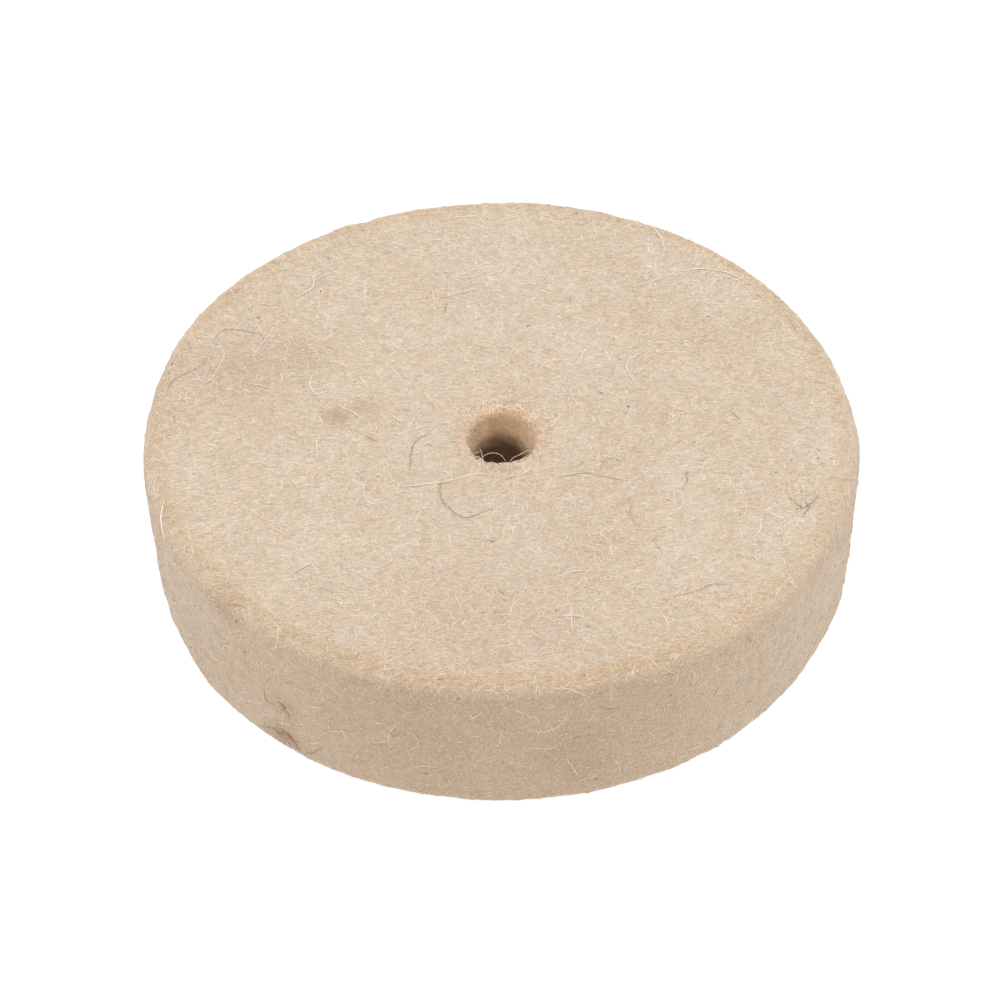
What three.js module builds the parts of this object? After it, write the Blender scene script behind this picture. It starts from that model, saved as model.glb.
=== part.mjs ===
// Felt polishing wheel: a thick flat disc cut from one slab of pressed wool felt, with a plain round
// arbor bore through its middle. The cut rim leans in a little towards the lower face.
//
// The wheel lies flat. The origin is the centre of its lower face, +Z is up along the bore axis, and
// lengths are millimetres. The wheel has one piece: the felt is pressed in one slab, and the bore is
// bare felt with no bush, flange or eyelet.

import * as THREE from "three";

// Driving dimensions, mm
const WHEEL_DIAMETER = 100; // across the polishing rim, at its widest, just under the upper face
const WHEEL_THICKNESS = 23; // between the two clamping faces
const RIM_LEAN = 1.0; // how far the cut rim leans in towards the axis on its way down
const BORE_DIAMETER = 10; // the cut hole that the arbor passes through
const TOP_RIM_RADIUS = 2.6; // softened edge between the upper face and the rim
const BOTTOM_RIM_RADIUS = 1.2; // softened edge between the lower face and the rim
const BORE_LIP_RADIUS = 1.5; // softened edge where the bore meets each face

// Facets
const SEGMENTS_AROUND = 96; // flats round the rim and the bore
const RIM_ARC_STEPS = 6; // flats across each softened rim edge
const LIP_ARC_STEPS = 4; // flats across each softened bore edge

const FELT = new THREE.MeshStandardMaterial({ color: 0xdcc9b5, roughness: 0.95, metalness: 0 });

// A quarter arc from startAngle to startAngle + 90 degrees, as points of (radius, height).
function quarterArc(centreX, centreZ, radius, startAngle, steps) {
  return Array.from({ length: steps + 1 }, (_, i) => {
    const angle = startAngle + (i / steps) * (Math.PI / 2);
    return new THREE.Vector2(centreX + radius * Math.cos(angle), centreZ + radius * Math.sin(angle));
  });
}

// The wheel's section on one side of its axis, from the bore's lower lip outwards, up the rim and
// back to the bore, closed on itself.
function wheelSection() {
  const upperRimX = WHEEL_DIAMETER / 2;
  const lowerRimX = upperRimX - RIM_LEAN;
  const boreX = BORE_DIAMETER / 2;
  const top = WHEEL_THICKNESS;
  const lip = BORE_LIP_RADIUS;
  const foot = BOTTOM_RIM_RADIUS;
  const crown = TOP_RIM_RADIUS;
  const section = [
    ...quarterArc(boreX + lip, lip, lip, Math.PI, LIP_ARC_STEPS),
    ...quarterArc(lowerRimX - foot, foot, foot, -Math.PI / 2, RIM_ARC_STEPS),
    ...quarterArc(upperRimX - crown, top - crown, crown, 0, RIM_ARC_STEPS),
    ...quarterArc(boreX + lip, top - lip, lip, Math.PI / 2, LIP_ARC_STEPS),
  ];
  return [...section, section[0].clone()];
}

function makeFeltWheel() {
  const turned = new THREE.LatheGeometry(wheelSection(), SEGMENTS_AROUND);
  turned.rotateX(Math.PI / 2); // a lathe turns about +Y; the wheel's axis is +Z
  const wheel = new THREE.Mesh(turned, FELT);
  wheel.name = "felt_wheel";
  return wheel;
}

const part = new THREE.Group();
part.add(makeFeltWheel());

export default part;
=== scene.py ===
"""Felt polishing wheel lying flat: one slab of pressed wool felt and the loose wool fibres on its faces.

Run it as a script. The slab is a closed section carried round the wheel's axis, the fibres are thin
closed tubes that wander over the slab's surface, and each finish is a procedural material.
"""

import math

import bpy
import numpy as np
from bpy.props import FloatProperty, FloatVectorProperty, IntProperty, PointerProperty
from bpy.types import Operator, Panel, PropertyGroup
from mathutils import Matrix, Vector


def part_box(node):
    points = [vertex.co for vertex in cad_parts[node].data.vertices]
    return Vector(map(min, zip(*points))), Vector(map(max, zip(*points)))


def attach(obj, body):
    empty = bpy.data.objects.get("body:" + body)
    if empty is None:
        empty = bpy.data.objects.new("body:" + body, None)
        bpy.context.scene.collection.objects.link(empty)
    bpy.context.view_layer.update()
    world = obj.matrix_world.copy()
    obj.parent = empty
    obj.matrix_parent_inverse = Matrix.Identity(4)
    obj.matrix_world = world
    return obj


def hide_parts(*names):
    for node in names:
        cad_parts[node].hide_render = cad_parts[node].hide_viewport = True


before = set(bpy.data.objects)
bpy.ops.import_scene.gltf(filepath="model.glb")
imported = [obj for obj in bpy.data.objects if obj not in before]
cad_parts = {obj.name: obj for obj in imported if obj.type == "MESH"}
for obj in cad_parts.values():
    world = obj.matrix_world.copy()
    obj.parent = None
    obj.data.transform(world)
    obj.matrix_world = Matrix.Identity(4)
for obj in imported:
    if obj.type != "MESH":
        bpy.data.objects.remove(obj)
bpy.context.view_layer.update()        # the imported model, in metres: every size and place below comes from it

bl_info = {
    "name": "Felt polishing wheel",
    "version": (1, 0, 0),
    "blender": (4, 5, 0),
    "location": "3D View > Sidebar > Felt wheel",
    "description": "Builds a polishing wheel of pressed wool felt with its loose surface fibres",
    "category": "Object",
}

MM = 0.001
BODY = "root"
WHEEL_NODE = "felt_wheel"


# ---------------------------------------------------------------- the section, measured on the frame

def wheel_sizes():
    """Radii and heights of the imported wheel, in metres, read off its points' distances from the axis."""
    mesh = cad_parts[WHEEL_NODE].data
    points = np.empty(len(mesh.vertices) * 3)
    mesh.vertices.foreach_get("co", points)
    points = points.reshape(-1, 3)
    low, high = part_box(WHEEL_NODE)
    reach = np.hypot(points[:, 0], points[:, 1])
    slack = 0.01 * MM
    upper = reach[points[:, 2] > high[2] - slack]
    lower = reach[points[:, 2] < low[2] + slack]
    lower_rim = reach[points[:, 2] < low[2] + 0.1 * (high[2] - low[2])].max()
    return {
        "thickness": float(high[2] - low[2]),
        "rim": float(reach.max()),
        "lower_rim": float(lower_rim),
        "bore": float(reach.min()),
        "crown": float(reach.max() - upper.max()),
        "foot": float(lower_rim - lower.max()),
        "lip": float(upper.min() - reach.min()),
    }


SIZE = wheel_sizes()


def arc(centre, radius, start, sweep, steps):
    """Points on a circle about centre, from the angle start through sweep."""
    angle = start + sweep * np.linspace(0, 1, steps + 1)
    return np.stack([centre[0] + radius * np.cos(angle), centre[1] + radius * np.sin(angle)], 1)


class Section:
    """The wheel's closed section as (distance from axis, height), followed by its own length.

    It starts on the bore's lower lip and goes outwards along the lower face, up the rim, inwards along
    the upper face and down the bore. Each corner is a quarter circle, and the corners are joined by
    straight lines. Every look-up is linear between closely spaced points.
    """

    def __init__(self):
        quarter = math.pi / 2
        lip, foot, crown, top = SIZE["lip"], SIZE["foot"], SIZE["crown"], SIZE["thickness"]
        corners = [
            arc((SIZE["bore"] + lip, lip), lip, math.pi, quarter, 12),
            arc((SIZE["lower_rim"] - foot, foot), foot, -quarter, quarter, 12),
            arc((SIZE["rim"] - crown, top - crown), crown, 0.0, quarter, 16),
            arc((SIZE["bore"] + lip, top - lip), lip, quarter, quarter, 12),
        ]
        outline = np.concatenate([*corners, corners[0][:1]])
        step = np.hypot(*np.diff(outline, axis=0).T)
        mark = np.concatenate([[0.0], np.cumsum(step)])
        self.length = mark[-1]
        self.along = np.linspace(0, self.length, 6000)
        self.reach = np.interp(self.along, mark, outline[:, 0])
        self.height = np.interp(self.along, mark, outline[:, 1])
        self.out_reach = np.gradient(self.height, self.along)
        self.out_height = -np.gradient(self.reach, self.along)
        ends = np.cumsum([len(c) for c in corners])
        middle = [int(e - len(c) / 2) for e, c in zip(ends, corners)]
        # where the bore gives way to the lower face, that to the rim, the rim to the upper face, and so on
        self.lower_start, self.rim_start, self.upper_start, self.bore_start = mark[middle]

    def at(self, along, table):
        """A table's value at each length along the section, going round as often as need be."""
        return np.interp(np.mod(along, self.length), self.along, table)

    def points(self, along, turn):
        """Places and outward directions on the smooth wheel, at lengths along the section and turns."""
        along, turn = np.broadcast_arrays(along, turn)
        reach, height = self.at(along, self.reach), self.at(along, self.height)
        out_reach, out_height = self.at(along, self.out_reach), self.at(along, self.out_height)
        size = np.hypot(out_reach, out_height)
        cos, sin = np.cos(turn), np.sin(turn)
        place = np.stack([reach * cos, reach * sin, height], -1)
        outward = np.stack([out_reach / size * cos, out_reach / size * sin, out_height / size], -1)
        return place, outward


SECTION = Section()


def waves(points, length, count, seed):
    """A smooth random field of about unit height: many sine waves that cross in random directions,
    with wavelengths from 0.6 to 1.6 times length, added up and scaled by the root of their number."""
    rng = np.random.default_rng(seed)
    heading = rng.normal(size=(3, count))
    heading /= np.linalg.norm(heading, axis=0)
    heading *= 2 * math.pi / (length * rng.uniform(0.6, 1.6, count))
    phase = rng.uniform(0, 2 * math.pi, count)
    return np.sin(points @ heading + phase).sum(-1) * math.sqrt(2 / count)


def relief(place, sizes):
    """How far the felt stands proud of the smooth wheel: three fields of waves added up, for the
    slab's slow warp, the lumps that pressing leaves and the coarse grain."""
    return (sizes.warp * waves(place, 34 * MM, 24, 11) + sizes.lumps * waves(place, 7 * MM, 40, 12)
            + sizes.grain * waves(place, 2.2 * MM, 60, 13))


# Where the hand-guided cut strays from a true circle at the foot of the rim: the turn in degrees, how
# many degrees it reaches to each side, and how many mm it lies outwards.
RIM_STRAYS = ((-166.0, 17.0, -0.70), (-132.0, 13.0, 0.35), (-109.0, 12.0, -0.20), (-75.0, 26.0, -0.12),
              (0.0, 16.0, 0.25))


def rim_stray(place, turn):
    """How far the rim is cut outside a true circle: a bell curve of the turn for each stray, full at
    the foot, none at the upper face and fading fast towards the axis."""
    away = np.hypot(place[..., 0], place[..., 1]) / SIZE["rim"]
    stray = np.zeros_like(away)
    for centre, reach, outwards in RIM_STRAYS:
        off = np.mod(turn - math.radians(centre) + math.pi, 2 * math.pi) - math.pi
        stray += outwards * MM * np.exp(-(off / math.radians(reach)) ** 2)
    return stray * (1 - place[..., 2] / SIZE["thickness"]) * away ** 8


def mouth_stray(place, turn):
    """How far the bore's upper mouth is worn wider than its middle: a steady flare and a push to one
    side, which fade with the depth and with the distance from the bore."""
    flare, push, towards = 0.35 * MM, 0.70 * MM, math.radians(-48.0)
    fade = 4.0 * MM
    below = SIZE["thickness"] - place[..., 2]
    beyond = np.hypot(place[..., 0], place[..., 1]) - SIZE["bore"]
    return (flare + push * np.cos(turn - towards)) * np.exp(-(below + beyond) / fade)


def mouth_dip(place):
    """How far the upper face sinks towards the bore, where the arbor has worn it: it fades with the
    distance from the bore and with the depth."""
    dip, fade = 0.5 * MM, 2.0 * MM
    beyond = np.maximum(np.hypot(place[..., 0], place[..., 1]) - SIZE["bore"], 0)
    return dip * np.exp(-(SIZE["thickness"] - place[..., 2] + beyond) / fade)


def felt_surface(along, turn, sizes):
    """Places and outward directions on the felt itself: the smooth wheel with its cut astray and its
    relief added along the outward direction, kept off the table."""
    place, outward = SECTION.points(along, turn)
    aside = rim_stray(place, turn) + mouth_stray(place, turn)
    place[..., 0] += aside * np.cos(turn)
    place[..., 1] += aside * np.sin(turn)
    place[..., 2] -= mouth_dip(place)
    place = place + outward * relief(place, sizes)[..., None]
    place[..., 2] = np.maximum(place[..., 2], 0.0)
    return place, outward


def unrolled(along, turn, zone):
    """Flat coordinates in metres of places on the wheel, one sheet for each zone: a face is a disc
    whose radius is the length of felt from the axis, and the rim and bore are strips."""
    lower, rim, upper, bore = SECTION.lower_start, SECTION.rim_start, SECTION.upper_start, SECTION.bore_start
    mouth = SIZE["bore"] + SIZE["lip"] / 2
    from_axis = np.where(zone == 0, mouth + along - lower, mouth + bore - along)
    disc = np.stack([from_axis * np.cos(turn), from_axis * np.sin(turn)], -1)
    round_way = np.where(zone == 1, SIZE["rim"], SIZE["bore"]) * turn
    strip = np.stack([round_way, along - np.where(zone == 1, rim, bore)], -1)
    return np.where(((zone == 0) | (zone == 2))[..., None], disc, strip)


# ---------------------------------------------------------------- meshes

def closed_mesh(name, points, faces, sizes, smooth=True):
    """A mesh object from whole arrays: points, the corners' points and each face's number of corners."""
    mesh = bpy.data.meshes.new(name)
    mesh.vertices.add(len(points))
    mesh.vertices.foreach_set("co", np.ascontiguousarray(points, dtype=np.float32).ravel())
    mesh.loops.add(len(faces))
    mesh.loops.foreach_set("vertex_index", faces.astype(np.int32))
    mesh.polygons.add(len(sizes))
    starts = np.concatenate([[0], np.cumsum(sizes)[:-1]])
    mesh.polygons.foreach_set("loop_start", starts.astype(np.int32))
    mesh.polygons.foreach_set("use_smooth", np.full(len(sizes), smooth))
    mesh.update(calc_edges=True)
    mesh.validate()
    piece = bpy.data.objects.new(name, mesh)
    bpy.context.scene.collection.objects.link(piece)
    return piece


def add_values(piece, name, values):
    """Stores one number per point of the piece, which its material reads by name."""
    layer = piece.data.attributes.new(name, "FLOAT", "POINT")
    layer.data.foreach_set("value", np.ascontiguousarray(values, dtype=np.float32).ravel())


def add_map(piece, name, places):
    """Stores a flat map of the piece: one place per corner of its faces."""
    layer = piece.data.uv_layers.new(name=name, do_init=False)
    layer.uv.foreach_set("vector", np.ascontiguousarray(places, dtype=np.float32).ravel())


def finish_piece(piece, material):
    piece.data.materials.append(material)
    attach(piece, BODY)
    return piece


def marks(along, turn):
    """What the finishes need to know at each place: how much it is on the cut rim, how near the crest where a
    face turns into the rim, how near the bore's mouths, and how deep in the bore, in mm. The depth drives the
    bore's painted shade, and the walls away from the sides that face along Y count as less deep, because the
    side softboxes light them deeper."""
    edge, spill = 1.6 * MM, 0.48 * MM  # how wide the cut rim's border is, and how far it spills over
    crest, crest_reach, mouth_reach = 1.5 * MM, 1.1 * MM, 0.6 * MM
    # painted shade: the walls facing along X count this much less deep, as the side softboxes light them deeper
    side_lit_depth = 4.0 * MM
    along = np.mod(along, SECTION.length)
    into = np.minimum(along - SECTION.rim_start, SECTION.upper_start - along)
    in_bore = (along > SECTION.bore_start) | (along < SECTION.lower_start)
    height = SECTION.at(along, SECTION.height)
    depth = np.minimum(height, SIZE["thickness"] - height) - side_lit_depth * np.cos(turn) ** 2
    return {
        "cut": np.clip((into + spill) / edge, 0, 1),
        "crest": np.exp(-((into + crest) / crest_reach) ** 2),
        "mouth": np.where(in_bore, 1.0, np.exp(-np.maximum(SECTION.bore_start - along, 0) / mouth_reach)),
        "depth": np.where(in_bore, np.maximum(depth, 0), 0.0) / MM,
    }


# ---------------------------------------------------------------- fibres

def scattered(rng, count, zones):
    """Random places with even cover: lengths along the section, drawn in proportion to the distance
    from the axis within the zones given as (start, end), and turns drawn evenly."""
    weight = np.zeros_like(SECTION.along)
    for start, end in zones:
        weight += ((SECTION.along >= start) & (SECTION.along <= end)) * SECTION.reach
    total = np.cumsum(weight)
    along = np.interp(rng.uniform(0, total[-1], count), total, SECTION.along)
    return along, rng.uniform(-math.pi, math.pi, count)


def wander(along, turn, heading, length, bend, steps):
    """Paths over the wheel's surface in equal steps. At each step a path goes on along its heading,
    split between the section and the turn, and its heading changes by its bend and, as on a cone, by
    the turn times how fast the wheel narrows along the section, which keeps an unbent path straight."""
    paths = [(along, turn)]
    stride = length / steps
    for step in range(steps):
        narrowing = SECTION.at(along, SECTION.out_height)
        turned = stride * np.sin(heading) / SECTION.at(along, SECTION.reach)
        along = along + stride * np.cos(heading)
        turn = turn + turned
        heading = heading + bend[:, step] * stride + narrowing * turned
        paths.append((along, turn))
    along, turn = zip(*paths)
    return np.stack(along, 1), np.stack(turn, 1)


def tubes(name, centre, outward, radius, values):
    """Closed three-sided tubes. Each ring of three points lies round the centre line, square to it,
    with one flat side outwards; the radius tapers to the ends, which a triangle closes. The values
    are arrays by name, one number for each ring."""
    count, rings = centre.shape[:2]
    run = np.gradient(centre, axis=1)
    run /= np.linalg.norm(run, axis=-1, keepdims=True) + 1e-12
    side = np.cross(run, outward)
    side /= np.linalg.norm(side, axis=-1, keepdims=True) + 1e-12
    up = np.cross(side, run)
    angle = (np.arange(3) + 0.5) * 2 * math.pi / 3
    ring = (up[:, :, None] * np.cos(angle)[:, None] + side[:, :, None] * np.sin(angle)[:, None])
    points = centre[:, :, None] + ring * radius[:, :, None, None]
    first = np.arange(count)[:, None, None] * rings * 3
    k, s = np.arange(rings - 1)[:, None], np.arange(3)[None]
    near, far = k * 3 + s, k * 3 + (s + 1) % 3
    quads = np.stack([near, far, far + 3, near + 3], -1).reshape(1, -1)
    caps = np.array([[2, 1, 0, *(np.arange(3) + (rings - 1) * 3)]])
    faces = np.concatenate([first[:, 0] + quads, first[:, 0] + caps], 1).ravel()
    sizes = np.tile([4] * (3 * (rings - 1)) + [3, 3], count)
    piece = closed_mesh(name, points.reshape(-1, 3), faces, sizes)
    for title, numbers in values.items():
        add_values(piece, title, np.repeat(np.broadcast_to(numbers, (count, rings)), 3, axis=1))
    add_map(piece, "OFBake", tube_map(count, rings))
    return piece


def tube_map(count, rings):
    """One small cell of a square chart for each tube: its length across the cell and its three sides
    one above another, with both end triangles in the margin that is left."""
    across = math.ceil(math.sqrt(count))
    cell = np.stack([np.arange(count) % across, np.arange(count) // across], 1)
    left, right, low, high = 0.14, 0.86, 0.1, 0.9
    k, s = np.meshgrid(np.arange(rings - 1), np.arange(3), indexing="ij")
    u = left + (right - left) * np.stack([k, k, k + 1, k + 1], -1) / (rings - 1)
    v = low + (high - low) * np.stack([s, s + 1, s + 1, s], -1) / 3
    sides = np.stack([u, v], -1).reshape(-1, 2)
    cap = np.array([[0.04, 0.1], [0.04, 0.9], [0.12, 0.5], [0.96, 0.1], [0.96, 0.9], [0.88, 0.5]])
    return (cell[:, None] + np.concatenate([sides, cap])[None]) / across


def tapered(t, thinner):
    """A hair's width along its length, from 0 to 1: full in the middle, and thinner at the ends by
    the given share, as the cube of the distance from the middle."""
    return 1 - thinner * np.abs(2 * t - 1) ** 3


def lying_fibres(name, rng, starts, look, material):
    """Fibres that set off from the given places at random headings and lie on the felt. Their middle
    rides a little proud and their ends dip in; a few arch up into loops. The look gives the number of
    steps, the usual length and width in metres, the curl in radians per metre, the usual shade, how
    far they ride proud, the share of them that is loose and how high a loose one arches."""
    steps = look["steps"]
    along, turn = starts
    count = len(along)
    length = look["length"] * rng.gamma(5.0, 0.2, count).clip(0.4, 2.4)  # a mean of 1 and a long tail
    steady = rng.normal(0, look["curl"], count)[:, None]
    curl = steady + rng.normal(0, 0.6 * look["curl"], (count, steps))
    along, turn = wander(along, turn, rng.uniform(0, 2 * math.pi, count), length, curl, steps)
    place, outward = felt_surface(along, turn, bpy.context.scene.felt_slab)
    t = np.linspace(0, 1, steps + 1)
    proud = rng.uniform(0.0, 1.0, count) * look["proud"]
    proud += (rng.random(count) < look["loose"]) * rng.uniform(0.4, 1.0, count) * look["loop"]
    centre = place + outward * (proud[:, None] * np.sin(math.pi * t))[..., None]
    width = look["width"] * rng.uniform(0.7, 1.3, count)
    radius = 0.5 * width[:, None] * tapered(t, 0.55)
    centre[..., 2] = np.maximum(centre[..., 2], radius)
    places = marks(along, turn)
    depth_shaded = np.clip(1 - places["depth"] / 6.0, 0.1, 1)  # painted shade: the bore's fibres darken with depth, fully by 6 mm deep
    shade = rng.normal(look["shade"], 0.2, count).clip(0, 1)[:, None] * depth_shaded
    piece = tubes(name, centre, outward, radius, {"shade": shade, **places})
    return finish_piece(piece, material)


def smooth_route(points, rings):
    """A smooth curve through given points, at even steps: between two points it is the cubic whose slopes there
    follow the points on either side."""
    points = np.asarray(points, dtype=float)
    ends = np.concatenate([2 * points[:1] - points[1:2], points, 2 * points[-1:] - points[-2:-1]])
    slope = (ends[2:] - ends[:-2]) / 2
    t = np.linspace(0, len(points) - 1, rings)
    i = np.minimum(t.astype(int), len(points) - 2)
    u = (t - i)[:, None]
    start, stop = points[i], points[i + 1]
    bend_in, bend_out = slope[i], slope[i + 1]
    return ((1 + 2 * u) * (1 - u) ** 2 * start + u * (1 - u) ** 2 * bend_in
            + u * u * (3 - 2 * u) * stop + u * u * (u - 1) * bend_out)


def over_face(route):
    """Places and outward directions for routes of (x, y, rise) in mm, where the rise is measured from
    the upper face's felt."""
    place = route * MM
    rise = place[..., 2].copy()
    place[..., 2] = SIZE["thickness"]
    place[..., 2] += relief(place, bpy.context.scene.felt_slab) + rise
    return place, np.broadcast_to([0.0, 0.0, 1.0], place.shape)


def along_rim(height):
    """How far along the section the cut rim has the given heights, in mm."""
    rim = (SECTION.along > SECTION.rim_start) & (SECTION.along < SECTION.upper_start)
    return np.interp(np.asarray(height) * MM, SECTION.height[rim], SECTION.along[rim])


def over_rim(route):
    """Places and outward directions for routes of (turn in degrees, height in mm, rise in mm), where
    the rise is measured from the cut rim's felt."""
    turn, height, rise = np.moveaxis(route, -1, 0)
    place, outward = felt_surface(along_rim(height), np.radians(turn), bpy.context.scene.felt_slab)
    return place + outward * rise[..., None] * MM, outward


def placed_hairs(name, routes, width, shade, material, laid=over_face):
    """Single hairs, each along its own listed route, laid over the upper face or the rim."""
    rings = 16
    place, outward = laid(np.stack([smooth_route(route, rings) for route in routes]))
    radius = np.broadcast_to(0.5 * width * tapered(np.linspace(0, 1, rings), 0.6), place.shape[:2])
    place[..., 2] = np.maximum(place[..., 2], radius)
    piece = tubes(name, place, outward, radius, {"shade": shade})
    return finish_piece(piece, material)


# ---------------------------------------------------------------- materials

def linear(hexed):
    """An sRGB hex colour as linear red, green and blue."""
    part = [int(hexed[i:i + 2], 16) / 255 for i in (0, 2, 4)]
    return tuple(c / 12.92 if c <= 0.04045 else ((c + 0.055) / 1.055) ** 2.4 for c in part)


def add(tree, kind, settings=None, inputs=None):
    """Adds a node: settings are its own properties, and inputs are values or links for its sockets."""
    node = tree.nodes.new(kind)
    for name, value in (settings or {}).items():
        setattr(node, name, value)
    for name, value in (inputs or {}).items():
        if isinstance(value, bpy.types.NodeSocket):
            tree.links.new(value, node.inputs[name])
        else:
            node.inputs[name].default_value = value
    return node


# Soft brown patches: place on the wheel in mm, how far each reaches in mm, and how strong it is. The broad last
# one, over the front of the upper face, is painted shade.
STAINS_AND_SHADE = (
    ((-23.2, 2.8, 23.0), 2.6, 0.45),
    ((-19.2, 4.8, 23.0), 2.2, 0.30),
    ((-37.0, 12.0, 23.0), 9.0, 0.22),
    ((-29.0, 15.0, 23.0), 6.0, 0.18),
    ((-29.5, -40.0, 9.0), 2.6, 0.30),
    ((-29.5, -39.5, 2.5), 3.4, 0.45),
    ((-37.4, -32.8, 22.0), 4.0, 0.30),
    ((10.0, -49.0, 10.0), 7.0, 0.18),
    # painted shade: the front half of the upper face, darker and yellower towards the camera
    ((0.0, -40.0, 23.0), 26.0, 0.16),
)


def tint(tree, share, wool, colour):
    """The wool multiplied by a colour, as much as the share says."""
    return add(tree, "ShaderNodeMix", {"data_type": "RGBA", "blend_type": "MULTIPLY"}, {
        0: share, 6: wool, 7: (*colour, 1)}).outputs[2]


def scaled(tree, colour, value, low, high):
    """The colour made lighter or darker: the value from 0 to 1 is turned into a factor from low to high."""
    tone = add(tree, "ShaderNodeMapRange", inputs={"Value": value, "To Min": low, "To Max": high})
    return add(tree, "ShaderNodeVectorMath", {"operation": "SCALE"}, {
        0: colour, "Scale": tone.outputs[0]}).outputs[0]


def marked(tree, name):
    """The value that a piece's points carry under this name."""
    return add(tree, "ShaderNodeAttribute", {"attribute_name": name}).outputs["Fac"]


def mixed(tree, share, first, second):
    """One colour blended into another, as much as the share says."""
    return add(tree, "ShaderNodeMix", {"data_type": "RGBA"}, {0: share, 6: first, 7: second}).outputs[2]


def wool_colour(tree, colours):
    """The felt's colour: cream and tan wool mixed by a broad cloud and by small flecks, brown patches on top,
    one of them a broad painted shade over the front of the upper face, the crest yellowed as painted warm
    light, the cut rim duller, partly for its cut ends and partly as painted shade, a painted contact shadow at
    its foot, the bore's mouth lighter and warmer as painted bounce light, and the bore wall darkened with depth
    as painted shade. Gives the eye cloudy, uneven natural wool."""
    place = add(tree, "ShaderNodeTexCoord").outputs["Object"]
    cloud = add(tree, "ShaderNodeTexNoise", inputs={"Vector": place, "Scale": 1 / (14 * MM), "Detail": 3.0})
    fleck = add(tree, "ShaderNodeTexNoise", inputs={"Vector": place, "Scale": 1 / (1.6 * MM), "Detail": 2.0})
    uneven = add(tree, "ShaderNodeMath", {"operation": "ADD"}, {0: cloud.outputs[0], 1: fleck.outputs[0]})
    share = add(tree, "ShaderNodeMapRange", inputs={
        "Value": uneven.outputs[0], "From Min": 0.6, "From Max": 1.4})
    wool = mixed(tree, share.outputs[0], (*colours.tan_wool, 1), (*colours.cream_wool, 1))
    for spot, reach, strength in STAINS_AND_SHADE:
        away = add(tree, "ShaderNodeVectorMath", {"operation": "DISTANCE"}, {
            0: place, 1: [c * MM for c in spot]})
        blur = add(tree, "ShaderNodeMath", {"operation": "MULTIPLY_ADD"}, {
            0: fleck.outputs[0], 1: -reach * MM, 2: away.outputs["Value"]})
        near = add(tree, "ShaderNodeMapRange", {"interpolation_type": "SMOOTHSTEP"}, {
            "Value": blur.outputs[0], "From Min": -0.6 * reach * MM, "From Max": 0.9 * reach * MM,
            "To Min": strength, "To Max": 0.0})
        wool = tint(tree, near.outputs[0], wool, colours.dirt_and_shade)
    # painted warm light: the lit crest is yellowed
    wool = tint(tree, marked(tree, "crest"), wool, colours.crest_light_tint)
    # the cut rim dulled, partly for its cut fibre ends and partly as painted shade of the upright rim
    wool = tint(tree, marked(tree, "cut"), wool, colours.cut_dull_and_shade_tint)
    # painted contact shadow: the rim's very foot darkens against the table
    height = add(tree, "ShaderNodeSeparateXYZ", inputs={0: place}).outputs["Z"]
    foot = add(tree, "ShaderNodeMapRange", inputs={
        "Value": height, "From Min": 0.1 * MM, "From Max": 0.5 * MM, "To Min": 0.8, "To Max": 0.0})
    wool = tint(tree, foot.outputs[0], wool, colours.foot_contact_shadow)
    mouth = marked(tree, "mouth")
    # painted bounce light: the bore's mouth and wall are made lighter and warmer than the face
    wool = tint(tree, mouth, wool, colours.bore_bounce_tint)
    wool = scaled(tree, wool, mouth, 1.0, colours.bore_bounce_lift)
    # painted shade: the bore wall darkens to brown with depth, with a ragged edge
    ragged = add(tree, "ShaderNodeMath", {"operation": "MULTIPLY_ADD"}, {
        0: fleck.outputs[0], 1: 3.0, 2: marked(tree, "depth")})
    shade_share = add(tree, "ShaderNodeMapRange", {"interpolation_type": "SMOOTHSTEP"}, {
        "Value": ragged.outputs[0], "From Min": 4.2, "From Max": 8.8, "To Max": 0.95})
    return mixed(tree, shade_share.outputs[0], wool, (*colours.bore_depth_shade, 1))


def new_material(name):
    """An empty material with a Principled shader on its output."""
    material = bpy.data.materials.new(name)
    material.use_nodes = True
    tree = material.node_tree
    tree.nodes.clear()
    shader = add(tree, "ShaderNodeBsdfPrincipled")
    add(tree, "ShaderNodeOutputMaterial", inputs={"Surface": shader.outputs[0]})
    return material, tree, shader


def set_inputs(shader, values):
    for name, value in values.items():
        shader.inputs[name].default_value = value


WOOL_SHINE = {"Roughness": 0.92, "IOR": 1.55, "Specular IOR Level": 0.15, "Sheen Weight": 0.16,
              "Sheen Roughness": 0.3}


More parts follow.
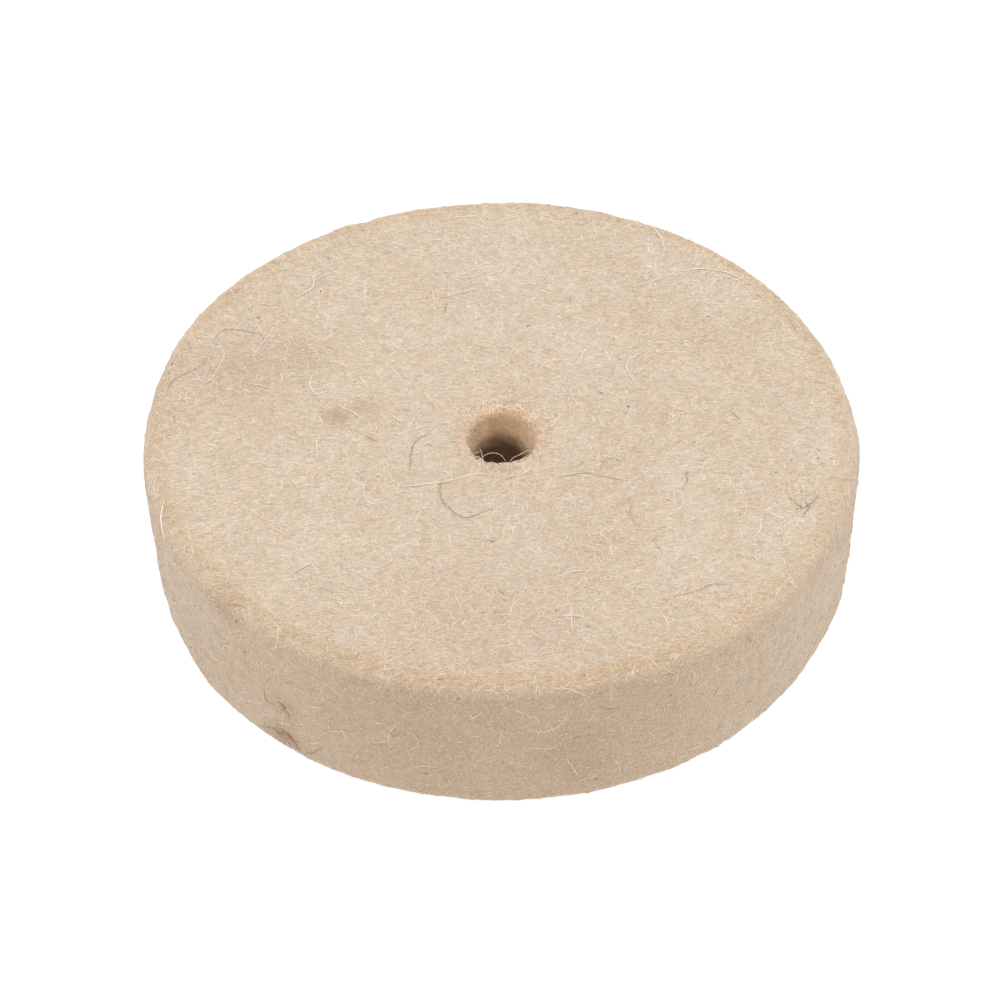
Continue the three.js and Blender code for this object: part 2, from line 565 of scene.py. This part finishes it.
def pressed_wool_felt(colours):
    """Pressed wool felt: a dense mat of fine fibres. Short streaks that lie every way round give the
    matted grain of the faces, fine grit gives the cut fibre ends, which are most of the rim and some of
    the faces, and the bump gives both their tiny pits. A little light passes through the wool."""
    material, tree, shader = new_material("pressed_wool_felt")
    set_inputs(shader, {**WOOL_SHINE, "Subsurface Weight": 0.4, "Subsurface Radius": (1.0, 0.75, 0.55),
                        "Subsurface Scale": 1.2 * MM})
    lay = add(tree, "ShaderNodeUVMap", {"uv_map": "felt_lay"}).outputs[0]
    mat = None
    # A wool fibre is 0.03 mm wide. The streaks are drawn 0.17 mm wide and 1 mm long, or they wouldn't show.
    for angle in (0.0, 36.0, 72.0, 108.0, 144.0):
        turned = add(tree, "ShaderNodeMapping", inputs={
            "Vector": lay, "Location": (angle, 0.0, 0.0), "Rotation": (0.0, 0.0, math.radians(angle)),
            "Scale": (1.0, 6.0, 1.0)})
        streak = add(tree, "ShaderNodeTexNoise", {"noise_dimensions": "2D"}, {
            "Vector": turned.outputs[0], "Scale": 1.0, "Detail": 1.0, "Distortion": 0.8})
        mat = streak.outputs[0] if mat is None else add(tree, "ShaderNodeMath", {"operation": "MAXIMUM"}, {
            0: mat, 1: streak.outputs[0]}).outputs[0]
    matted = add(tree, "ShaderNodeMapRange", inputs={"Value": mat, "From Min": 0.48, "From Max": 0.78})
    place = add(tree, "ShaderNodeTexCoord").outputs["Object"]
    # The cut ends are as fine as the fibres, and are drawn as grains 0.3 mm across so that they show.
    ends = add(tree, "ShaderNodeTexNoise", inputs={"Vector": place, "Scale": 1 / (0.3 * MM), "Detail": 1.5})
    grit = add(tree, "ShaderNodeMapRange", inputs={
        "Value": ends.outputs[0], "From Min": 0.1, "From Max": 0.9})
    gritty = add(tree, "ShaderNodeMapRange", inputs={"Value": marked(tree, "cut"), "To Min": 0.3})
    grain = add(tree, "ShaderNodeMix", inputs={
        0: gritty.outputs[0], 2: matted.outputs[0], 3: grit.outputs[0]}).outputs[0]
    bump = add(tree, "ShaderNodeBump", inputs={"Height": grain, "Strength": 0.8, "Distance": 0.14 * MM})
    tree.links.new(scaled(tree, wool_colour(tree, colours), grain, 0.55, 1.13), shader.inputs["Base Color"])
    tree.links.new(bump.outputs[0], shader.inputs["Normal"])
    return material


def loose_wool(colours):
    """Loose wool fibres: each has its own shade over the felt's own clouds, and the paler ones come
    close to ivory."""
    material, tree, shader = new_material("loose_wool_fibre")
    set_inputs(shader, WOOL_SHINE)
    shade = marked(tree, "shade")
    paler = add(tree, "ShaderNodeMapRange", inputs={"Value": shade, "To Min": 0.0, "To Max": 0.7})
    fibre = mixed(tree, paler.outputs[0], wool_colour(tree, colours), (*colours.ivory, 1))
    tree.links.new(scaled(tree, fibre, shade, 0.75, 1.12), shader.inputs["Base Color"])
    return material


def coarse_hair(name, shine, ends, patch, tone):
    """A coarse hair: a noise of the patch size blends its two colours along it, so that it isn't one
    flat colour, and its own shade makes it lighter or darker within the tone's two factors."""
    material, tree, shader = new_material(name)
    set_inputs(shader, shine)
    place = add(tree, "ShaderNodeTexCoord").outputs["Object"]
    noise = add(tree, "ShaderNodeTexNoise", inputs={"Vector": place, "Scale": 1 / patch, "Detail": 1.0})
    hair = mixed(tree, noise.outputs[0], (*ends[0], 1), (*ends[1], 1))
    tree.links.new(scaled(tree, hair, marked(tree, "shade"), *tone), shader.inputs["Base Color"])
    return material


def kemp_hair(colours):
    """Kemp: the coarse, chalky white hairs of a fleece, paler than the wool."""
    return coarse_hair("kemp_hair", WOOL_SHINE, (colours.cream_wool, colours.kemp), 0.8 * MM, (0.95, 1.1))


def brown_wool(colours):
    """Brown wool: stray hairs of a dark fleece, without the pale wool's sheen, so that they stay dark."""
    return coarse_hair("brown_wool_hair", {**WOOL_SHINE, "Sheen Weight": 0.0},
                       (colours.brown_hair, colours.tan_wool), 1.2 * MM, (0.4, 1.2))


# ---------------------------------------------------------------- settings

class SlabSizes(PropertyGroup):
    """The pressed slab's unevenness and mesh."""

    warp: FloatProperty(name="Warp", description="Height of the slab's slow warp",
                        default=0.12 * MM, unit="LENGTH", precision=5)
    lumps: FloatProperty(name="Lumps", description="Height of the lumps that pressing leaves",
                         default=0.04 * MM, unit="LENGTH", precision=5)
    grain: FloatProperty(name="Grain", description="Height of the felt's coarse grain",
                         default=0.03 * MM, unit="LENGTH", precision=5)
    around: IntProperty(name="Steps round", description="Mesh steps round the wheel", default=400)
    across: IntProperty(name="Steps along section", description="Mesh steps round the section", default=236)


class FibreSizes(PropertyGroup):
    """How many loose fibres and hairs there are, and how long and wide."""

    upper: IntProperty(name="Upper face", description="Fibres on the upper face", default=27000)
    rim: IntProperty(name="Rim", description="Fibres on the cut rim", default=16000)
    lower: IntProperty(name="Lower face", description="Fibres on the lower face", default=4500)
    bore: IntProperty(name="Bore", description="Fibres in the bore", default=1800)
    lip: IntProperty(name="Bore lip", description="Upright fibres round the bore's upper lip", default=700)
    coarse: IntProperty(name="Coarse hairs", description="Pale coarse hairs on the upper face and rim",
                        default=520)
    specks: IntProperty(name="Specks", description="Tiny dark bits caught in the felt", default=110)
    length: FloatProperty(name="Length", description="Usual length of a fibre's part that shows",
                          default=1.25 * MM, unit="LENGTH", precision=5)
    width: FloatProperty(name="Width", description="Usual width of a fibre",
                         default=0.07 * MM, unit="LENGTH", precision=5)


class WoolColours(PropertyGroup):
    """Colours of the wool and of what marks it."""

    cream_wool: FloatVectorProperty(name="Cream wool", description="The lightest of the felt",
                                    subtype="COLOR", default=linear("EBD7BF"))
    tan_wool: FloatVectorProperty(name="Tan wool", description="The darkest of the felt",
                                  subtype="COLOR", default=linear("DEC4A7"))
    # painted warm light: the tint that yellows the lit crest
    crest_light_tint: FloatVectorProperty(name="Crest", description="How the handled crest yellows the wool",
                                    subtype="COLOR", default=linear("FBF4E8"))
    # the cut rim's tint: partly its duller cut fibre ends, partly painted shade of the upright rim
    cut_dull_and_shade_tint: FloatVectorProperty(name="Cut rim", description="How much the cut rim dulls the wool",
                                  subtype="COLOR", default=linear("EDE9E5"))
    # painted bounce light: the warmer tint of the bore's mouth and wall
    bore_bounce_tint: FloatVectorProperty(name="Bore wall", description="How the tan bore wall tints the wool",
                                   subtype="COLOR", default=linear("FFF8EE"))
    # painted bounce light: how much lighter the bore's mouth and wall are made
    bore_bounce_lift: FloatProperty(name="Bore lift", description="How much lighter the clean bore wall's wool is",
                             default=1.4)
    # painted contact shadow: what darkens the rim's foot against the table
    foot_contact_shadow: FloatVectorProperty(name="Foot", description="What dirt multiplies the rim's very foot by",
                                   subtype="COLOR", default=linear("8C8A90"))
    # this colour tints the stains and also the broad painted shade over the upper face's front
    dirt_and_shade: FloatVectorProperty(name="Dirt", description="What a brown patch multiplies the wool by",
                              subtype="COLOR", default=linear("C09A78"))
    # painted shade: the brown that the bore wall darkens to with depth
    bore_depth_shade: FloatVectorProperty(name="Scorched", description="Felt that the bore cutter browned",
                                  subtype="COLOR", default=linear("6E4828"))
    ivory: FloatVectorProperty(name="Ivory", description="The palest of the loose wool fibres",
                               subtype="COLOR", default=linear("F9ECD9"))
    kemp: FloatVectorProperty(name="Coarse hair", description="The pale coarse hairs in the wool",
                              subtype="COLOR", default=linear("F6EFE6"))
    brown_hair: FloatVectorProperty(name="Brown hair", description="Stray hairs of a dark fleece",
                                    subtype="COLOR", default=linear("583A26"))


class StageSizes(PropertyGroup):
    """Camera and light."""

    lens: FloatProperty(name="Lens", description="Focal length on a 36 mm sensor, in mm", default=197.8)
    distance: FloatProperty(name="Distance", description="Camera to the wheel's middle",
                            default=775.6 * MM, unit="LENGTH")
    elevation: FloatProperty(name="Elevation", description="Camera's height above the horizon",
                             default=math.radians(44.455), subtype="ANGLE")
    tilt: FloatProperty(name="Tilt", description="How far below the wheel's middle the camera looks",
                        default=math.radians(0.0995), subtype="ANGLE")
    roll: FloatProperty(name="Roll", description="Camera's turn about its own line of sight",
                        default=math.radians(0.38), subtype="ANGLE")
    room_light: FloatProperty(name="Room light", description="Even light from all round", default=0.38)
    top_power: FloatProperty(name="Top softbox", description="Power of the softbox above and behind",
                             default=5.4, unit="POWER")
    side_power: FloatProperty(name="Side softboxes", description="Power of the softbox on each side",
                              default=3.6, unit="POWER")
    side_colour: FloatVectorProperty(name="Side light", description="The cooler light from the sides",
                                     subtype="COLOR", default=linear("E8F0FF"))
    front_power: FloatProperty(name="Front softbox", description="Power of the weak softbox above the camera",
                               default=3.2, unit="POWER")
    floor_glow: FloatProperty(name="Floor glow", description="Light that the table gives off itself",
                              default=0.85)


# ---------------------------------------------------------------- operators

class FELT_OT_slab(Operator):
    """Builds the pressed felt slab, closed and uneven, in place of the plain one"""

    bl_idname = "felt.slab"
    bl_label = "Felt slab"

    def execute(self, context):
        sizes = context.scene.felt_slab
        rows, columns = sizes.across, sizes.around
        # rows are spaced evenly in each zone, so that a row lies on each zone's edge
        edges = [SECTION.lower_start, SECTION.rim_start, SECTION.upper_start, SECTION.bore_start,
                 SECTION.lower_start + SECTION.length]
        counts = [round(rows * (b - a) / SECTION.length) for a, b in zip(edges, edges[1:])]
        parts = [np.linspace(a, b, n, endpoint=False) for a, b, n in zip(edges, edges[1:], counts)]
        along = np.concatenate([*parts, [edges[-1]]])
        zone = np.repeat(np.arange(4), counts)
        turn = np.linspace(-math.pi, math.pi, columns + 1)
        place, _ = felt_surface(along[:-1, None], turn[None, :-1], sizes)
        rows = len(along) - 1
        i, j = np.meshgrid(np.arange(rows), np.arange(columns), indexing="ij")
        corner_rows = np.stack([i, i, i + 1, i + 1], -1)
        corner_columns = np.stack([j, j + 1, j + 1, j], -1)
        faces = (corner_rows % rows) * columns + corner_columns % columns
        slab = closed_mesh("felt_slab", place.reshape(-1, 3), faces.ravel(), np.full(i.size, 4))
        lay = unrolled(along[corner_rows], turn[corner_columns], zone[i][..., None])
        add_map(slab, "felt_lay", lay.reshape(-1, 2) / MM)
        add_map(slab, "OFBake", self.chart(lay, zone[i][..., None], turn[corner_columns]))
        for title, numbers in marks(along[:-1, None], turn[None, :-1]).items():
            add_values(slab, title, np.broadcast_to(numbers, place.shape[:2]))
        finish_piece(slab, pressed_wool_felt(context.scene.wool_colours))
        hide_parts(WHEEL_NODE)
        return {"FINISHED"}

    @staticmethod
    def chart(lay, zone, turn):
        """Packs the unrolled zones into one square: both discs side by side above, the rim in two
        strips below them and the bore in a short one."""
        disc = SIZE["bore"] + SECTION.rim_start - SECTION.lower_start + 1 * MM
        scale = 0.245 / disc  # a disc takes just under half the square
        strip, margin, disc_row = 0.13, 0.02, 0.745
        second_half = turn.mean(-1, keepdims=True) > 0
        rim_shift = np.where(second_half, 0.0, SIZE["rim"] * math.pi) * scale
        zones = [zone == 0, zone == 1, zone == 2]
        u = np.select(zones, [0.25, margin + rim_shift, 0.75], 0.03 + SIZE["bore"] * math.pi * scale)
        v = np.select(zones, [disc_row, margin + strip * second_half, disc_row], margin + 2 * strip)
        corner = np.stack(np.broadcast_arrays(u, v, turn)[:2], -1)
        return (lay * scale + corner).reshape(-1, 2)


class FELT_OT_fibres(Operator):
    """Lays the loose fibres on both faces, the cut rim, the bore and the bore's lip"""

    bl_idname = "felt.fibres"
    bl_label = "Loose fibres"

    def execute(self, context):
        sizes = context.scene.felt_fibres
        material = loose_wool(context.scene.wool_colours)
        rng = np.random.default_rng(20)
        face = {"steps": 4, "length": sizes.length, "width": sizes.width, "curl": 850.0, "shade": 0.68,
                "proud": 0.02 * MM, "loose": 0.06, "loop": 0.25 * MM}
        under = {**face, "loose": 0.0}
        cut = {**face, "length": 0.65 * sizes.length, "curl": 1300.0, "loose": 0.05}
        bore = {**cut, "loose": 0.3}
        lip = {**cut, "steps": 6, "length": 1.4 * sizes.length, "shade": 0.8, "loose": 0.8,
               "loop": 0.5 * MM}
        end = SECTION.length
        in_bore = [(SECTION.bore_start, end), (0, SECTION.lower_start)]
        near_lip = (SECTION.bore_start - 1.3 * MM, SECTION.bore_start + 0.7 * MM)
        batches = [("upper_face_fibres", sizes.upper, [(SECTION.upper_start, SECTION.bore_start)], face, 4),
                   ("rim_fibres", sizes.rim, [(SECTION.rim_start, SECTION.upper_start)], cut, 3),
                   ("lower_face_fibres", sizes.lower, [(SECTION.lower_start, SECTION.rim_start)], under, 1),
                   ("bore_fibres", sizes.bore, in_bore, bore, 1),
                   ("bore_lip_fibres", sizes.lip, [near_lip], lip, 1)]
        for name, count, zones, look, pieces in batches:
            for n in range(pieces):
                title = f"{name}_{n + 1}" if pieces > 1 else name
                starts = scattered(rng, count // pieces, zones)
                lying_fibres(title, rng, starts, look, material)
        return {"FINISHED"}


# Routes of single hairs on the upper face, as (x, y, rise above the felt) in mm.
PALE_HAIRS = (
    ((18.0, 30.0, 0.1), (22.7, 31.8, 0.15), (25.6, 33.5, 0.1), (31.3, 33.6, 0.15), (37.7, 29.8, 0.05)),
    ((21.4, 43.6, 0.1), (22.9, 41.0, 0.15), (23.5, 38.2, 0.05)),
    ((20.9, 17.1, 0.05), (17.9, 14.5, 0.15), (18.2, 11.8, 0.1), (19.4, 8.9, 0.05)),
    ((8.0, -36.0, 0.1), (10.0, -35.7, 0.15), (12.0, -36.2, 0.1)),
    ((-46.3, -14.0, 0.1), (-46.6, -17.8, 0.15), (-46.0, -21.7, 0.05)),
    ((-15.5, -11.0, 0.05), (-9.0, -10.2, 0.12), (-3.5, -8.4, 0.1), (0.6, -8.9, 0.05)),
    ((-30.0, 27.0, 0.05), (-27.2, 29.6, 0.15), (-26.8, 32.9, 0.1), (-24.0, 35.2, 0.05)),
    ((33.0, -22.0, 0.05), (35.4, -19.6, 0.12), (36.0, -16.0, 0.05)),
    ((-22.8, 5.2, 0.05), (-20.8, 3.8, 0.15), (-19.4, 2.2, 0.05)),
    ((-15.8, 3.6, 0.05), (-14.8, 2.9, 0.12), (-13.7, 1.8, 0.05)),
    ((-26.6, 11.6, 0.05), (-26.9, 9.4, 0.12), (-26.0, 7.3, 0.15), (-24.2, 8.2, 0.05)),
    ((9.6, -34.3, 0.1), (9.7, -36.6, 0.12), (9.8, -39.0, 0.05)),
    ((21.8, -35.1, 0.05), (22.3, -36.0, 0.12), (22.8, -37.0, 0.05)),
    ((8.1, -28.3, 0.05), (10.2, -27.2, 0.1), (12.3, -27.3, 0.05)),
)
FINE_PALE_HAIRS = (
    ((-42.8, 17.2, 0.05), (-41.1, 17.0, 0.12), (-39.7, 16.3, 0.15), (-39.2, 15.0, 0.12), (-39.9, 12.8, 0.1),
     (-40.9, 10.4, 0.12), (-41.7, 9.6, 0.1), (-42.4, 10.2, 0.1), (-43.3, 11.7, 0.05)),
    ((-35.6, -6.8, 0.05), (-33.7, -6.5, 0.1), (-31.9, -7.1, 0.1), (-30.3, -7.4, 0.05)),
    ((-36.4, -14.6, 0.05), (-34.2, -16.0, 0.1), (-32.4, -17.7, 0.1), (-29.9, -19.0, 0.05)),
    ((-28.0, -30.7, 0.05), (-26.7, -31.1, 0.1), (-25.6, -32.5, 0.05)),
    ((-8.7, 33.0, 0.05), (-6.0, 32.1, 0.1), (-3.7, 32.3, 0.1), (-0.8, 33.1, 0.05)),
    ((-15.3, 36.6, 0.05), (-17.6, 34.3, 0.1), (-18.9, 33.2, 0.05)),
    ((-25.2, 28.5, 0.05), (-23.4, 29.6, 0.1), (-21.7, 30.8, 0.05)),
    ((-8.5, 44.6, 0.05), (-5.1, 45.3, 0.1), (-0.4, 45.2, 0.05)),
    ((4.2, 15.5, 0.05), (5.6, 13.8, 0.1), (7.3, 12.6, 0.05)),
)
LIP_HAIRS = (
    ((4.8, -1.3, 0.0), (5.4, -1.8, 0.4), (6.1, -2.5, 0.2)),
    ((6.1, -2.5, 0.1), (6.9, -2.3, 0.4), (7.3, -3.1, 0.3), (6.9, -4.3, 0.1)),
    ((-3.8, -4.7, 0.2), (-3.3, -4.1, 0.1), (-2.9, -3.7, -0.3)),
    ((-2.5, -5.2, 0.1), (-2.3, -4.6, 0.0), (-1.1, -4.2, 0.0), (0.1, -4.8, 0.0), (0.8, -6.2, 0.1)),
    ((1.2, -6.2, 0.1), (1.7, -5.3, 0.0), (2.6, -4.6, -0.1), (3.8, -3.9, 0.0), (4.7, -3.8, -0.1)),
    ((-3.0, -3.0, -0.3), (-2.7, -4.0, 0.0), (-2.5, -5.9, 0.1)),
)
BROWN_HAIRS = (
    ((-8.0, -9.0, 0.05), (-8.4, -11.4, 0.15), (-8.0, -13.6, 0.1), (-6.3, -16.0, 0.15), (-4.5, -17.0, 0.1),
     (-1.0, -15.0, 0.05)),
    ((-9.7, 0.0, 0.05), (-11.6, -1.6, 0.15), (-12.4, -3.7, 0.1), (-12.6, -7.7, 0.05)),
    ((40.5, -15.0, 0.05), (42.4, -14.1, 0.15), (44.0, -12.0, 0.05)),
    ((41.6, -16.0, 0.05), (42.4, -14.6, 0.1), (42.0, -13.0, 0.05)),
    ((26.0, -7.4, 0.05), (25.7, -8.4, 0.12), (25.8, -9.4, 0.12), (25.4, -10.6, 0.05)),
)
FINE_BROWN_HAIRS = (
    ((-47.0, 7.5, 0.05), (-46.4, 9.9, 0.1), (-45.3, 11.0, 0.1), (-43.3, 12.4, 0.1), (-41.8, 14.1, 0.05)),
    ((-41.0, 17.4, 0.05), (-40.1, 20.0, 0.1), (-38.4, 20.4, 0.1), (-35.8, 20.0, 0.1), (-34.1, 19.4, 0.1),
     (-33.7, 17.5, 0.05)),
    ((13.9, -7.0, 0.05), (14.8, -5.6, 0.15), (15.9, -5.5, 0.1), (16.7, -5.8, 0.05)),
    ((8.2, -9.3, 0.05), (11.3, -8.3, 0.1), (13.5, -8.7, 0.1), (16.9, -9.6, 0.05)),
    ((18.2, -13.6, 0.05), (17.8, -16.0, 0.15), (18.3, -17.9, 0.1), (19.2, -18.6, 0.05)),
    ((23.6, -32.0, 0.05), (26.8, -30.9, 0.1), (28.9, -29.6, 0.1), (31.0, -29.7, 0.05)),
    ((20.7, -20.8, 0.05), (21.3, -22.1, 0.1), (22.0, -23.2, 0.05)),
)
# The same on the cut rim, as (turn in degrees, height in mm, rise above the felt in mm).
RIM_BROWN_HAIRS = (
    ((-127.4, 9.6, 0.05), (-126.5, 8.9, 0.1), (-126.4, 8.3, 0.1), (-125.4, 8.0, 0.1), (-125.7, 6.6, 0.05)),
    ((-130.3, 10.3, 0.05), (-130.5, 8.6, 0.1), (-129.4, 8.0, 0.1), (-128.5, 8.7, 0.05)),
    ((-127.9, 9.1, 0.05), (-126.8, 9.5, 0.1), (-125.9, 9.1, 0.1), (-126.8, 8.4, 0.1), (-127.1, 7.6, 0.05)),
    ((-131.4, 1.9, 0.05), (-129.4, 3.0, 0.1), (-127.7, 2.7, 0.1), (-126.2, 3.6, 0.1), (-124.9, 3.1, 0.1),
     (-123.3, 3.4, 0.05)),
    ((-128.8, 3.5, 0.05), (-127.5, 3.0, 0.1), (-126.7, 3.9, 0.1), (-124.9, 3.9, 0.05)),
    ((-126.6, 2.2, 0.05), (-125.5, 3.2, 0.1), (-124.6, 2.6, 0.1), (-123.9, 1.5, 0.05)),
    ((-123.0, 1.2, 0.05), (-121.0, 2.6, 0.1), (-119.2, 4.5, 0.05)),
)
# Dark specks on the rim, as (turn in degrees, height in mm).
RIM_SPECKS = ((-134.0, 15.4), (-106.5, 12.0), (-67.0, 6.4), (-46.0, 15.6), (-38.6, 11.0), (-35.0, 9.6))


class FELT_OT_hairs(Operator):
    """Adds the coarse pale hairs, the stray brown ones and the dark specks"""

    bl_idname = "felt.hairs"
    bl_label = "Hairs and specks"

    def execute(self, context):
        sizes = context.scene.felt_fibres
        pale = kemp_hair(context.scene.wool_colours)
        brown = brown_wool(context.scene.wool_colours)
        rng = np.random.default_rng(31)
        coarse = {"steps": 10, "length": 3.4 * MM, "width": 0.11 * MM, "curl": 330.0, "shade": 0.5,
                  "proud": 0.05 * MM, "loose": 0.04, "loop": 0.3 * MM}
        starts = scattered(rng, sizes.coarse, [(SECTION.rim_start, SECTION.bore_start - 2 * MM)])
        lying_fibres("coarse_pale_hairs", rng, starts, coarse, pale)
        placed_hairs("long_pale_hairs", PALE_HAIRS, 0.17 * MM, 0.95, pale)
        placed_hairs("fine_pale_hairs", FINE_PALE_HAIRS, 0.12 * MM, 1.0, pale)
        placed_hairs("bore_lip_hairs", LIP_HAIRS, 0.07 * MM, 0.5, pale)
        placed_hairs("long_brown_hairs", BROWN_HAIRS, 0.10 * MM, 0.4, brown)
        placed_hairs("fine_brown_hairs", FINE_BROWN_HAIRS, 0.08 * MM, 0.65, brown)
        placed_hairs("rim_brown_hairs", RIM_BROWN_HAIRS, 0.08 * MM, 0.55, brown, over_rim)
        short = {**coarse, "steps": 6, "length": 2.0 * MM, "width": 0.09 * MM, "shade": 0.55, "loose": 0.0}
        starts = scattered(rng, sizes.specks // 2, [(SECTION.rim_start, SECTION.bore_start)])
        lying_fibres("short_brown_hairs", rng, starts, short, brown)
        speck = {**short, "steps": 3, "length": 0.35 * MM, "width": 0.16 * MM, "shade": 0.35}
        along, turn = scattered(rng, sizes.specks, [(SECTION.rim_start, SECTION.bore_start)])
        turns, heights = np.array(RIM_SPECKS).T
        along = np.append(along, along_rim(heights))
        turn = np.append(turn, np.radians(turns))
        lying_fibres("dark_specks", rng, (along, turn), speck, brown)
        return {"FINISHED"}


class FELT_OT_stage(Operator):
    """Sets the pale floor, the soft light and the camera"""

    bl_idname = "felt.stage"
    bl_label = "Stage"

    def execute(self, context):
        sizes = context.scene.felt_stage
        scene = context.scene
        scene.view_settings.view_transform = "Standard"
        middle = Vector((0.0, 0.0, SIZE["thickness"] / 2))
        white = linear("FFFFFF")
        self.floor(sizes)
        # name, place and size in metres, power and colour
        for lamp in (("top_softbox", (0.0, 0.20, 0.90), (1.2, 0.9), sizes.top_power, white),
                     ("front_softbox", (0.0, -0.55, 0.75), (1.0, 0.5), sizes.front_power, white),
                     ("left_softbox", (-0.95, 0.10, 0.65), (0.7, 0.7), sizes.side_power, sizes.side_colour),
                     ("right_softbox", (0.95, 0.10, 0.65), (0.7, 0.7), sizes.side_power, sizes.side_colour)):
            self.softbox(*lamp, middle)
        self.room(scene, sizes)
        camera = bpy.data.objects.new("camera", bpy.data.cameras.new("camera"))
        camera.data.lens = sizes.lens
        camera.data.sensor_width = 36.0
        camera.data.clip_start, camera.data.clip_end = 0.01, 20.0
        scene.collection.objects.link(camera)
        back = Vector((0.0, -math.cos(sizes.elevation), math.sin(sizes.elevation)))
        look = (-back).to_track_quat("-Z", "Y").to_matrix().to_4x4()
        tilt = Matrix.Rotation(-sizes.tilt, 4, "X")
        roll = Matrix.Rotation(sizes.roll, 4, "Z")
        camera.matrix_world = Matrix.Translation(middle + back * sizes.distance) @ look @ tilt @ roll
        scene.camera = camera
        return {"FINISHED"}

    @staticmethod
    def room(scene, sizes):
        """An even room light that lights the wheel softly, behind a white backdrop."""
        world = bpy.data.worlds.new("studio")
        world.use_nodes = True
        tree = world.node_tree
        seen = add(tree, "ShaderNodeLightPath").outputs["Is Camera Ray"]
        strength = add(tree, "ShaderNodeMapRange", inputs={
            "Value": seen, "To Min": sizes.room_light, "To Max": 1.0}).outputs[0]
        tree.nodes["Background"].inputs["Color"].default_value = (*linear("FFFFFF"), 1)
        tree.links.new(strength, tree.nodes["Background"].inputs["Strength"])
        scene.world = world

    @staticmethod
    def floor(sizes):
        """A wide white light table just under the wheel."""
        half, height = 4.0, -0.02 * MM
        corners = [(x * half, y * half, height) for x, y in ((-1, -1), (1, -1), (1, 1), (-1, 1))]
        floor = closed_mesh("floor", np.array(corners), np.arange(4), np.array([4]), smooth=False)
        material, tree, shader = new_material("white_light_table")
        set_inputs(shader, {"Base Color": (*linear("959595"), 1), "Roughness": 0.9,
                            "Specular IOR Level": 0.1, "Emission Color": (*linear("FFFFFF"), 1),
                            "Emission Strength": sizes.floor_glow})
        floor.data.materials.append(material)

    @staticmethod
    def softbox(name, place, size, power, colour, middle):
        """A rectangular lamp that faces the wheel."""
        lamp = bpy.data.lights.new(name, "AREA")
        lamp.color = colour
        lamp.shape = "RECTANGLE"
        lamp.size, lamp.size_y = size
        lamp.energy = power
        softbox = bpy.data.objects.new(name, lamp)
        bpy.context.scene.collection.objects.link(softbox)
        place = Vector(place)
        softbox.matrix_world = Matrix.Translation(place) @ (
            (middle - place).to_track_quat("-Z", "Y").to_matrix().to_4x4())


class FELT_PT_panel(Panel):
    """Lists the wheel's build steps and settings"""

    bl_label = "Felt wheel"
    bl_idname = "FELT_PT_panel"
    bl_space_type = "VIEW_3D"
    bl_region_type = "UI"
    bl_category = "Felt wheel"

    def draw(self, context):
        for operator in OPERATORS:
            self.layout.operator(operator.bl_idname)
        for name in SETTINGS:
            group = getattr(context.scene, name)
            box = self.layout.box()
            for prop in group.__annotations__:
                box.prop(group, prop)


SETTINGS = {"felt_slab": SlabSizes, "felt_fibres": FibreSizes, "wool_colours": WoolColours,
            "felt_stage": StageSizes}
OPERATORS = (FELT_OT_stage, FELT_OT_slab, FELT_OT_fibres, FELT_OT_hairs)


def register():
    for cls in (*SETTINGS.values(), *OPERATORS, FELT_PT_panel):
        bpy.utils.register_class(cls)
    for name, group in SETTINGS.items():
        setattr(bpy.types.Scene, name, PointerProperty(type=group))


def unregister():
    for name in SETTINGS:
        delattr(bpy.types.Scene, name)
    for cls in reversed((*SETTINGS.values(), *OPERATORS, FELT_PT_panel)):
        bpy.utils.unregister_class(cls)


def main():
    register()
    bpy.ops.felt.stage()
    bpy.ops.felt.slab()
    bpy.ops.felt.fibres()
    bpy.ops.felt.hairs()


if __name__ == "__main__":
    main()
